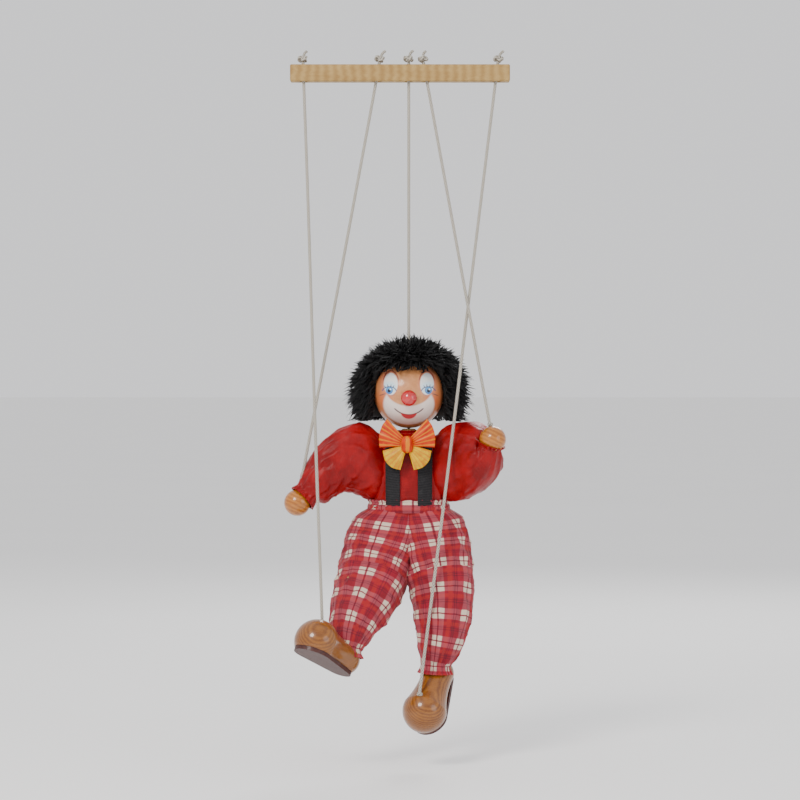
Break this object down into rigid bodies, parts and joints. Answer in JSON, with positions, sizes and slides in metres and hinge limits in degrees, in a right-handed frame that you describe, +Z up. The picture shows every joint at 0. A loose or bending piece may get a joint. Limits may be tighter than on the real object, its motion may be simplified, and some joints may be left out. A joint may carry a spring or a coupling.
{
  "type": "marionette puppet",
  "caption": "Jointed wooden string puppet of a clown in shirt and checked trousers, hung by strings from a straight wooden control bar.",
  "frame": {"origin": "middle of the control bar, where a hand holds it", "axes": "+Z up, +X along the control bar towards the figure's own left, the figure faces -Y"},
  "size_m": [0.128, 0.1021, 0.3859],
  "materials": {
    "pale_wood": "bare sanded softwood",
    "core_wood": "bare wood",
    "face_paint": "painted and varnished wood",
    "red_gloss": "gloss paint",
    "black_fur": "long-pile faux fur",
    "varnished_wood": "clear gloss varnish",
    "dark_sole": "dark stained wood",
    "red_satin": "satin",
    "tartan": "woven check cotton",
    "black_elastic": "woven elastic",
    "yellow_satin": "satin",
    "string_cotton": "braided cotton",
    "pin_steel": "drawn wire"
  },
  "bodies": {
    "control": {"control_bar": "pale_wood"},
    "torso": {"chest_block": "core_wood", "hip_block": "core_wood", "spine_lath": "core_wood", "head_string": "string_cotton", "neck_bead": "core_wood", "shirt_body": "red_satin", "right_suspender": "black_elastic", "left_suspender": "black_elastic", "trousers_seat": "tartan", "bow_wings": "yellow_satin", "bow_knot": "yellow_satin", "right_shoulder_pin": "pin_steel", "left_shoulder_pin": "pin_steel", "right_hip_pin": "pin_steel", "left_hip_pin": "pin_steel"},
    "head": {"head_ball": "face_paint", "nose": "red_gloss", "wig": "black_fur"},
    "right_upper_arm": {"right_upper_arm": "core_wood", "right_elbow_pin": "pin_steel", "right_upper_sleeve": "red_satin"},
    "right_forearm": {"right_forearm": "core_wood", "right_hand": "varnished_wood", "right_lower_sleeve": "red_satin"},
    "right_hand_string": {"right_hand_string": "string_cotton"},
    "right_thigh": {"right_thigh": "core_wood", "right_knee_pin": "pin_steel", "right_upper_trouser": "tartan"},
    "right_shank": {"right_shank": "core_wood", "right_lower_trouser": "tartan"},
    "right_shoe": {"right_shoe": "varnished_wood", "right_sole": "dark_sole", "right_ankle_pin": "pin_steel"},
    "right_foot_string": {"right_foot_string": "string_cotton"},
    "left_upper_arm": {"left_upper_arm": "core_wood", "left_elbow_pin": "pin_steel", "left_upper_sleeve": "red_satin"},
    "left_forearm": {"left_forearm": "core_wood", "left_hand": "varnished_wood", "left_lower_sleeve": "red_satin"},
    "left_hand_string": {"left_hand_string": "string_cotton"},
    "left_thigh": {"left_thigh": "core_wood", "left_knee_pin": "pin_steel", "left_upper_trouser": "tartan"},
    "left_shank": {"left_shank": "core_wood", "left_lower_trouser": "tartan"},
    "left_shoe": {"left_shoe": "varnished_wood", "left_sole": "dark_sole", "left_ankle_pin": "pin_steel"},
    "left_foot_string": {"left_foot_string": "string_cotton"}
  },
  "joints": [
    {"name": "puppet_swing", "type": "hinge", "parent": "control", "child": "torso", "pos_m": [0, 0, 0], "axis": [1, 0, 0], "range_deg": [-10, 10]},
    {"name": "head_turn", "type": "hinge", "parent": "torso", "child": "head", "pos_m": [0.005, 0, -0.182], "axis": [0, 0, 1], "range_deg": [-60, 60]},
    {"name": "right_hand_string_pull", "type": "slide", "parent": "torso", "child": "right_hand_string", "axis": [0.1811, 0.0563, 0.9819], "range_m": [0, 0.00699]},
    {"name": "right_shoulder", "type": "hinge", "parent": "torso", "child": "right_upper_arm", "pos_m": [-0.0135, 0, -0.217], "axis": [-0.3005, 0.9538, 0.0007], "range_deg": [0, 25.5]},
    {"name": "right_elbow", "type": "hinge", "parent": "right_upper_arm", "child": "right_forearm", "pos_m": [-0.03794, -0.00769, -0.22551], "axis": [-0.3005, 0.9538, 0.0007], "range_deg": [-38.7, 0]},
    {"name": "left_hand_string_pull", "type": "slide", "parent": "torso", "child": "left_hand_string", "axis": [-0.1763, 0.1128, 0.9779], "range_m": [0, 0.0159]},
    {"name": "left_shoulder", "type": "hinge", "parent": "torso", "child": "left_upper_arm", "pos_m": [0.0235, 0, -0.217], "axis": [-0.639, -0.7688, -0.0265], "range_deg": [0, 31.5]},
    {"name": "left_elbow", "type": "hinge", "parent": "left_upper_arm", "child": "left_forearm", "pos_m": [0.0411, -0.01412, -0.23183], "axis": [-0.639, -0.7688, -0.0265], "range_deg": [-16.8, 0]},
    {"name": "right_foot_string_pull", "type": "slide", "parent": "torso", "child": "right_foot_string", "axis": [-0.0385, 0.1541, 0.9873], "range_m": [0, 0.01235]},
    {"name": "right_hip", "type": "hinge", "parent": "torso", "child": "right_thigh", "pos_m": [-0.0106, 0.0037, -0.2635], "axis": [-0.8196, 0.5604, -0.1195], "range_deg": [0, 23.5]},
    {"name": "right_knee", "type": "hinge", "parent": "right_thigh", "child": "right_shank", "pos_m": [-0.02713, -0.0255, -0.28706], "axis": [-0.8196, 0.5604, -0.1195], "range_deg": [-35.3, 0]},
    {"name": "right_ankle", "type": "hinge", "parent": "right_shank", "child": "right_shoe", "pos_m": [-0.03, -0.038, -0.326], "axis": [-0.8196, 0.5604, -0.1195], "range_deg": [0, 13.3]},
    {"name": "left_foot_string_pull", "type": "slide", "parent": "torso", "child": "left_foot_string", "axis": [0.1248, 0.1, 0.9871], "range_m": [0, 0.01549]},
    {"name": "left_hip", "type": "hinge", "parent": "torso", "child": "left_thigh", "pos_m": [0.0206, 0.0037, -0.2635], "axis": [-0.8199, -0.5499, 0.1594], "range_deg": [0, 26.5]},
    {"name": "left_knee", "type": "hinge", "parent": "left_thigh", "child": "left_shank", "pos_m": [0.02811, -0.01745, -0.29781], "axis": [-0.8199, -0.5499, 0.1594], "range_deg": [-45.8, 0]},
    {"name": "left_ankle", "type": "hinge", "parent": "left_shank", "child": "left_shoe", "pos_m": [0.02, -0.017, -0.338], "axis": [-0.8199, -0.5499, 0.1594], "range_deg": [0, 20.8]}
  ],
  "couplings": [
    {"joint": "right_shoulder", "follows": "right_hand_string_pull", "rad_per_m": 59.916},
    {"joint": "right_elbow", "follows": "right_hand_string_pull", "rad_per_m": -92.87},
    {"joint": "left_shoulder", "follows": "left_hand_string_pull", "rad_per_m": 32.927},
    {"joint": "left_elbow", "follows": "left_hand_string_pull", "rad_per_m": -16.793},
    {"joint": "right_hip", "follows": "right_foot_string_pull", "rad_per_m": 31.095},
    {"joint": "right_knee", "follows": "right_foot_string_pull", "rad_per_m": -47.73},
    {"joint": "right_ankle", "follows": "right_foot_string_pull", "rad_per_m": 16.636},
    {"joint": "left_hip", "follows": "left_foot_string_pull", "rad_per_m": 28.169},
    {"joint": "left_knee", "follows": "left_foot_string_pull", "rad_per_m": -49.93},
    {"joint": "left_ankle", "follows": "left_foot_string_pull", "rad_per_m": 21.761}
  ]
}
